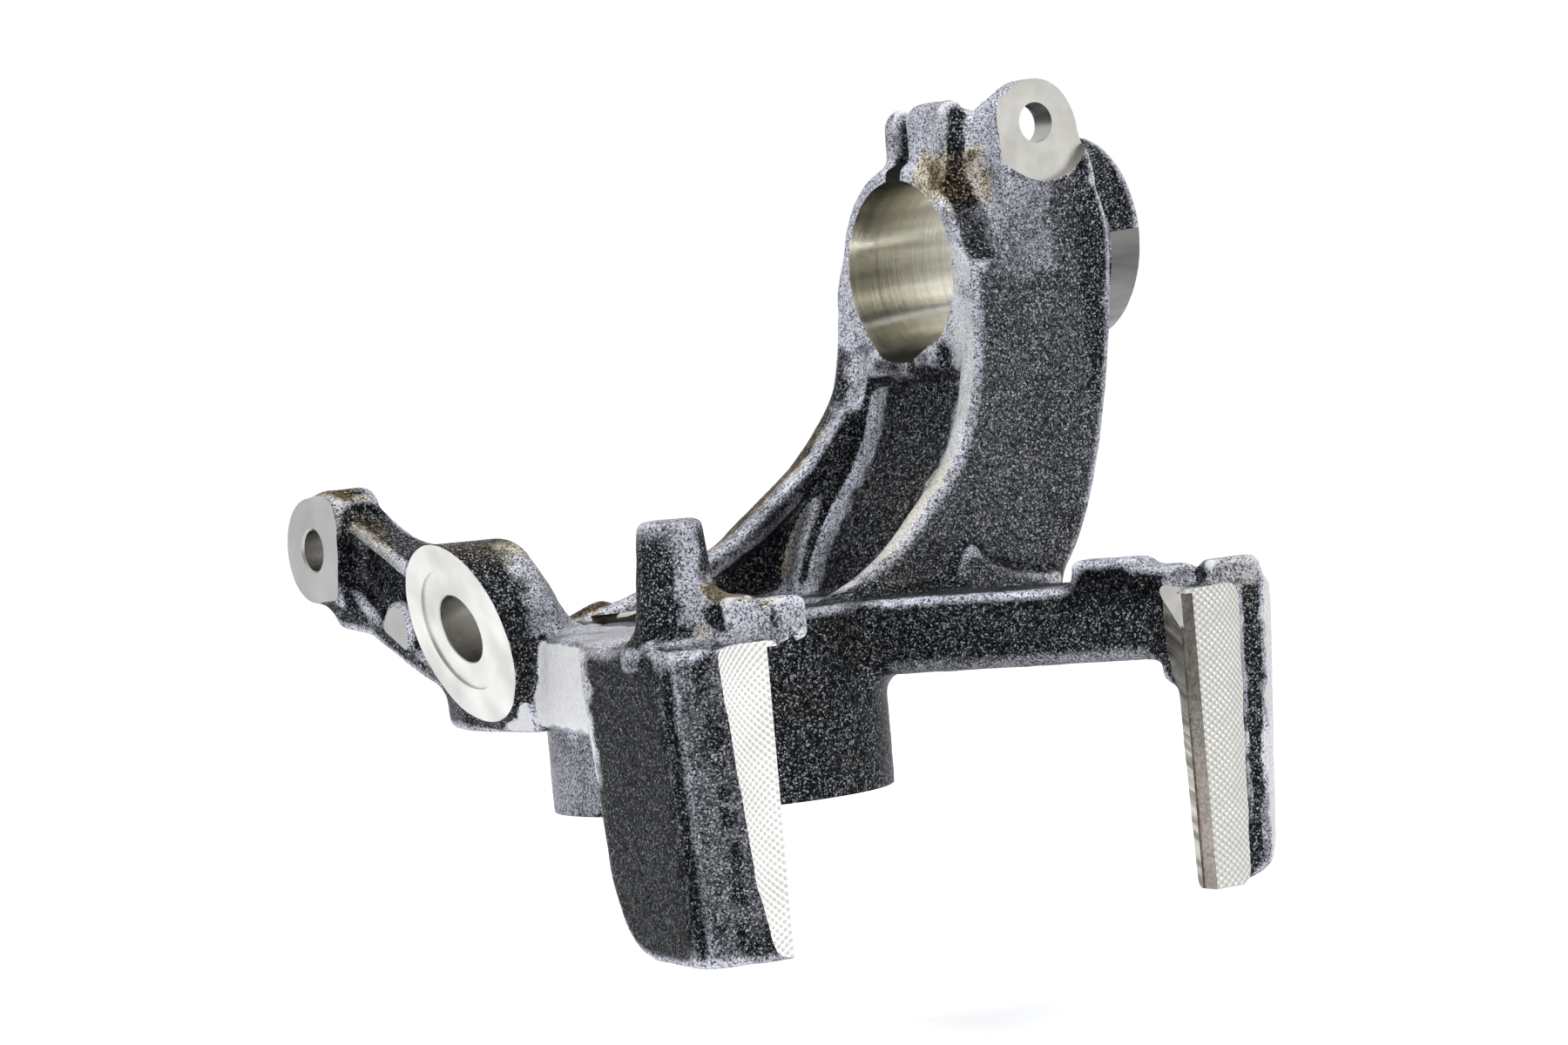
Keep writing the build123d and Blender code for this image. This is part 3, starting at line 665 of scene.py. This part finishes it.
def cast_skin(mat):
    """Shot-blasted iron: near black, with a fine glittering grain, and painted highlights and
    painted shade laid on from the mesh's attributes.
    """
    n = Nodes(mat)
    n.bsdf.inputs["IOR"].default_value = 1.5
    n.bsdf.inputs["Specular Tint"].default_value = (0.5, 0.5, 0.5, 1)
    # the grain: small facets over two sizes of noise
    cell = n.new("ShaderNodeTexVoronoi", feature="F1")
    cell.inputs["Scale"].default_value = 2100.0
    n.link(n.coord, cell.inputs["Vector"])
    facet = n.new("ShaderNodeSeparateColor")
    n.link(cell.outputs["Color"], facet.inputs[0])
    grain = n.noise(1600.0, 3.0, 0.6)
    coarse = n.noise(520.0, 2.0, 0.5)
    patch = n.noise(20.0, 3.0, 0.6, n.vector("ADD", n.coord, (0.31, 0.07, 0.55)))
    along = n.noise(38.0, 3.0, 0.6)
    rough = n.math("ADD", n.math("MULTIPLY", grain, 0.70), n.math("MULTIPLY", coarse, 0.10))
    tone = n.math("ADD", n.math("MULTIPLY", facet.outputs[0], 0.40), rough)
    base = n.ramp(tone, [(0.46, (0.003, 0.004, 0.005)), (0.61, (0.014, 0.016, 0.018)),
                         (0.72, (0.064, 0.070, 0.075)), (0.84, (0.48, 0.49, 0.51))])
    # brown film, oily and rusty, with a painted warm tint, and painted shade
    oil_and_sheen = n.math("MULTIPLY", n.attribute("oil_and_sheen"),
                 n.ramp(along, [(0.30, grey(0.55)), (0.60, grey(1.0))]))
    brown = n.math("MAXIMUM", n.ramp(patch, [(0.60, grey(0.0)), (0.78, grey(0.6))]), oil_and_sheen)
    base = n.mix(brown, base, n.mix(1.0, base, (1.35, 0.95, 0.50), "MULTIPLY"))
    # painted shade: faces in those places darkened to 0.3 of their colour
    base = n.mix(n.attribute("painted_shade"), base, n.mix(1.0, base, grey(0.30), "MULTIPLY"))
    # painted highlight at outer edges and a little in corners, partly wear, and a plain pale
    # painted highlight where the level is highest
    level = n.attribute("bend_and_highlight")
    edge_highlight = n.ramp(level, [(0.14, grey(0.25)), (0.36, grey(0.0)), (0.58, grey(0.0)),
                         (0.72, grey(1.0))])
    worn = n.math("MULTIPLY", edge_highlight, n.ramp(tone, [(0.41, grey(0.08)), (0.67, grey(1.0))]))
    worn = n.math("MULTIPLY", worn, n.ramp(along, [(0.30, grey(0.35)), (0.56, grey(1.0))]))
    pale_highlight = n.ramp(level, [(0.80, grey(0.0)), (0.95, grey(0.85))])
    n.link(n.ramp(level, [(0.80, grey(0.95)), (0.95, grey(0.05))]), n.bsdf.inputs["Metallic"])
    # colour of the painted highlights: lavender turning cream in patches, and cream then dark
    # brown under the brown film
    tint = n.ramp(patch, [(0.60, (0.78, 0.79, 0.88)), (0.80, (0.86, 0.78, 0.66))])
    for low, high, colour in ((0.10, 0.45, (0.82, 0.74, 0.58)),
                              (0.50, 0.80, (0.15, 0.11, 0.06))):
        tint = n.mix(n.ramp(oil_and_sheen, [(low, grey(0.0)), (high, grey(1.0))]), tint, colour)
    n.link(n.mix(pale_highlight, n.mix(worn, base, tint), (0.95, 0.95, 0.93)),
           n.bsdf.inputs["Base Color"])
    n.link(n.ramp(coarse, [(0.3, grey(0.24)), (0.7, grey(0.38))]), n.bsdf.inputs["Roughness"])
    height = n.math("ADD", n.math("ADD", grain, n.math("MULTIPLY", coarse, 0.9)),
                    n.math("MULTIPLY", facet.outputs[1], 0.35))
    n.bump(height, 0.9, 0.0007)


def metal(mat, colour, rough, mark, strength, depth, shade=0.0, other=None,
          cloudy=(60.0, 60.0, 60.0), least=0.80):
    """Cut iron, with the tool's marks as a fine relief; other is its colour at X > 0, a darker
    copy that serves as painted shade.
    """
    n = Nodes(mat)
    n.bsdf.inputs["Metallic"].default_value = 1.0
    cloud = n.noise(1.0, 3.0, 0.55, n.stretched(cloudy))
    base = n.ramp(cloud, [(0.35, tuple(c * least for c in colour)), (0.65, colour)])
    n.link(n.ramp(n.noise(240.0, 2.0), [(0.3, grey(rough * 0.85)), (0.7, grey(rough * 1.2))]),
           n.bsdf.inputs["Roughness"])
    # painted shade: faces at X > 0 take the darker other colour
    if other is not None:
        xyz = n.new("ShaderNodeSeparateXYZ")
        n.link(n.coord, xyz.inputs[0])
        side = n.ramp(xyz.outputs[0], [(0.0, grey(0.0)), (0.04, grey(1.0))])
        base = n.mix(side, base, other)
    lines = mark(n)
    n.bump(lines, strength, depth)
    if shade:
        dark = n.ramp(lines, [(0.38, grey(shade)), (0.56, grey(0.0))])
        base = n.mix(dark, base, tuple(c * 0.35 for c in colour))
    n.link(base, n.bsdf.inputs["Base Color"])


MILL_R, MILL_X, MILL_FEED = 58.0, 42.0, 2.2     # mm, path of the face mill


def way_marks(n):
    """Crossing arcs left by a face mill that runs along Z."""
    xyz = n.new("ShaderNodeSeparateXYZ")
    n.link(n.coord, xyz.inputs[0])
    side = n.math("SUBTRACT", n.math("ABSOLUTE", xyz.outputs[0]), MILL_X * MM)
    rise = n.math("SQRT", n.math("SUBTRACT", (MILL_R * MM) ** 2, n.math("MULTIPLY", side, side)))
    turns = 2 * math.pi / (MILL_FEED * MM)
    waves = [n.math("SINE", n.math("MULTIPLY", n.math(op, xyz.outputs[2], rise), turns))
             for op in ("ADD", "SUBTRACT")]
    lead = n.noise(26.0, 1.0)
    first = n.math("MULTIPLY", waves[0], n.math("ADD", lead, 0.1))
    second = n.math("MULTIPLY", waves[1], n.math("SUBTRACT", 0.95, lead))
    return n.math("ADD", n.math("MULTIPLY", n.math("ADD", first, second), 0.40), 0.5)


def turn_marks(n):
    """Fine and wide lines of a lathe tool across X."""
    fine = n.noise(1.0, 3.0, 0.6, n.stretched((2600.0, 12.0, 12.0)))
    wide = n.noise(1.0, 2.0, 0.5, n.stretched((420.0, 9.0, 9.0)))
    return n.math("ADD", n.math("MULTIPLY", fine, 0.6), n.math("MULTIPLY", wide, 0.5))


def mill_stripes(n):
    """Slanting feed marks of an end mill."""
    turned = n.new("ShaderNodeVectorRotate", rotation_type="AXIS_ANGLE")
    turned.inputs["Axis"].default_value = (1, 0, 0)
    turned.inputs["Angle"].default_value = math.radians(62)
    n.link(n.coord, turned.inputs["Vector"])
    scaled = n.vector("MULTIPLY", turned.outputs[0], (30.0, 340.0, 26.0))
    return n.noise(1.0, 2.0, 0.5, scaled)


def face_marks(n):
    """Even grain of a faced surface."""
    return n.noise(420.0, 2.0, 0.5)


def step_marks(n):
    return n.noise(900.0, 2.0, 0.6)


def tab_marks(n):
    """Fine grain drawn out along Z."""
    return n.noise(1.0, 2.0, 0.5, n.stretched((700.0, 700.0, 40.0)))


cast_skin(MATS["cast_skin"])
# the right way's faces take the darker second colour: painted shade
metal(MATS["milled_way"], (0.95, 0.94, 0.90), 0.34, way_marks, 0.40, 0.0006, 0.70,
      (0.54, 0.54, 0.50))
metal(MATS["milled_face"], (0.60, 0.58, 0.51), 0.34, mill_stripes, 0.45, 0.0008, 0.95)
metal(MATS["milled_step"], (0.44, 0.40, 0.35), 0.40, step_marks, 0.25, 0.0005, 0.6)
# the bore's cloud is drawn out along X, the clamp bore's axis, into light and dark bands:
# painted reflection streaks
metal(MATS["turned_bore"], (0.92, 0.90, 0.81), 0.16, turn_marks, 0.22, 0.0004, 0.30,
      cloudy=(5.0, 75.0, 75.0), least=0.58)
metal(MATS["milled_eye"], (0.46, 0.46, 0.45), 0.40, face_marks, 0.12, 0.0004)
metal(MATS["faced_boss"], (0.74, 0.73, 0.69), 0.42, face_marks, 0.12, 0.0004, least=0.70)
# the outer turned face's cloud is drawn out along X into strong light and dark bands: painted
# reflection bands
metal(MATS["turned_outer"], (0.26, 0.26, 0.25), 0.30, turn_marks, 0.2, 0.0004,
      cloudy=(8.0, 60.0, 60.0), least=0.30)
metal(MATS["milled_tab"], (0.62, 0.61, 0.57), 0.30, tab_marks, 0.15, 0.0004)
metal(MATS["drilled"], (0.50, 0.49, 0.46), 0.30, turn_marks, 0.2, 0.0003)
metal(MATS["slot_face"], (0.10, 0.10, 0.10), 0.55, mill_stripes, 0.2, 0.0005)

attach(knuckle, "root")
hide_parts("knuckle_casting")


# ---- camera, floor and light ---------------------------------------------
# the photograph's camera: its turn, focal length in pixels, distance in mm, and the
# pixel where it shows the part's origin
YAW, PITCH, ROLL = math.radians(33.0), math.radians(2.0), math.radians(5.1)
FOCAL, DEPTH, ORIGIN_PX = 6199.0, 1675.0, (832.0, 914.0)
PHOTO_W, PHOTO_H, SENSOR = 1800.0, 1200.0, 36.0
level_right = Vector((math.cos(YAW), -math.sin(YAW), 0))
ahead = Vector((math.sin(YAW) * math.cos(PITCH), math.cos(YAW) * math.cos(PITCH),
                -math.sin(PITCH)))
level_up = Vector((math.sin(YAW) * math.sin(PITCH), math.cos(YAW) * math.sin(PITCH),
                   math.cos(PITCH)))
right = math.cos(ROLL) * level_right - math.sin(ROLL) * level_up
upward = math.sin(ROLL) * level_right + math.cos(ROLL) * level_up
offset = (right * ((ORIGIN_PX[0] - PHOTO_W / 2) / FOCAL * DEPTH)
          + upward * (-(ORIGIN_PX[1] - PHOTO_H / 2) / FOCAL * DEPTH) + ahead * DEPTH)
cam_data = bpy.data.cameras.new("camera")
cam_data.sensor_width = SENSOR
cam_data.lens = FOCAL / PHOTO_W * SENSOR
cam_data.clip_end = 50.0
camera = bpy.data.objects.new("camera", cam_data)
bpy.context.scene.collection.objects.link(camera)
turn = Matrix((right, upward, -ahead)).transposed().to_4x4()
camera.matrix_world = Matrix.Translation(-offset * MM) @ turn
bpy.context.scene.camera = camera


def sees_background(n):
    """1 for the rays that show the pale background: camera, glossy, transmission."""
    path = n.new("ShaderNodeLightPath")
    seen = path.outputs["Is Camera Ray"]
    for kind in ("Is Glossy Ray", "Is Transmission Ray"):
        seen = n.math("MAXIMUM", seen, path.outputs[kind])
    return seen


FLOOR_Z, FLOOR_REACH = -0.080, 12             # m
FLOOR_GLOW = 0.35                             # on top of its own colour, to those rays
floor_mesh = bpy.data.meshes.new("floor")
floor_mesh.from_pydata([(x * FLOOR_REACH, y * FLOOR_REACH, FLOOR_Z)
                        for x, y in ((-1, -1), (1, -1), (1, 1), (-1, 1))], [], [(0, 1, 2, 3)])
floor = bpy.data.objects.new("floor", floor_mesh)
bpy.context.scene.collection.objects.link(floor)
floor_mat = material("floor")
floor_mesh.materials.append(floor_mat)
n = Tree(floor_mat)
out = n.new("ShaderNodeOutputMaterial")
diffuse = n.new("ShaderNodeBsdfDiffuse")
diffuse.inputs[0].default_value = (0.93, 0.93, 0.93, 1)
glow = n.new("ShaderNodeEmission")
glow.inputs[0].default_value = (1, 1, 1, 1)
n.link(n.math("MULTIPLY", sees_background(n), FLOOR_GLOW), glow.inputs[1])
both = n.new("ShaderNodeAddShader")
n.link(diffuse.outputs[0], both.inputs[0])
n.link(glow.outputs[0], both.inputs[1])
n.link(both.outputs[0], out.inputs[0])

# the world: white to the camera, and in reflections white that fades towards the
# viewer's side, so that polished faces keep some shape
REFLECTED_LEAST = 0.35
FADE_FROM, FADE_TO = 0.30, 0.90               # cosine with the way to the viewer
world = bpy.data.worlds.new("studio")
bpy.context.scene.world = world
world.use_nodes = True
n = Tree(world)
out = n.new("ShaderNodeOutputWorld")
shown = n.new("ShaderNodeBackground")
shown.inputs[0].default_value = (1, 1, 1, 1)
lighting = n.new("ShaderNodeBackground")
lighting.inputs[0].default_value = (0.95, 0.96, 1.0, 1)
lighting.inputs[1].default_value = 0.85
ray = n.new("ShaderNodeTexCoord").outputs["Generated"]
fade = n.new("ShaderNodeMapRange", interpolation_type="SMOOTHSTEP")
for key, amount in (("From Min", FADE_FROM), ("From Max", FADE_TO), ("To Min", 1.0),
                    ("To Max", REFLECTED_LEAST)):
    fade.inputs[key].default_value = amount
n.link(n.vector("DOT_PRODUCT", ray, -ahead, "Value"), fade.inputs["Value"])
to_camera = n.new("ShaderNodeLightPath").outputs["Is Camera Ray"]
n.link(n.math("MAXIMUM", fade.outputs[0], to_camera), shown.inputs[1])
chosen = n.new("ShaderNodeMixShader")
n.link(sees_background(n), chosen.inputs[0])
n.link(lighting.outputs[0], chosen.inputs[1])
n.link(shown.outputs[0], chosen.inputs[2])
n.link(chosen.outputs[0], out.inputs[0])


def area(name, pos, target, size, power, colour):
    """Lamp of a size in metres and a power in watts, turned to its target."""
    data = bpy.data.lights.new(name, "AREA")
    data.shape = "RECTANGLE"
    data.size, data.size_y = size
    data.energy = power
    data.color = colour
    obj = bpy.data.objects.new(name, data)
    obj.location = pos
    obj.rotation_euler = (Vector(target) - Vector(pos)).to_track_quat("-Z", "Y").to_euler()
    bpy.context.scene.collection.objects.link(obj)


area("top", (0.0, 0.1, 1.3), (0, 0, 0.05), (0.9, 0.7), 9.0, (0.94, 0.95, 1.0))
area("front_right", (0.46, -1.34, -0.02), (0, -0.05, 0.02), (0.4, 0.4), 2.2,
     (1.0, 0.99, 0.97))
area("left", (-1.45, 0.05, 0.20), (0, 0, 0.06), (0.9, 0.9), 0.8, (0.97, 0.98, 1.0))

bpy.context.scene.view_settings.view_transform = "Standard"
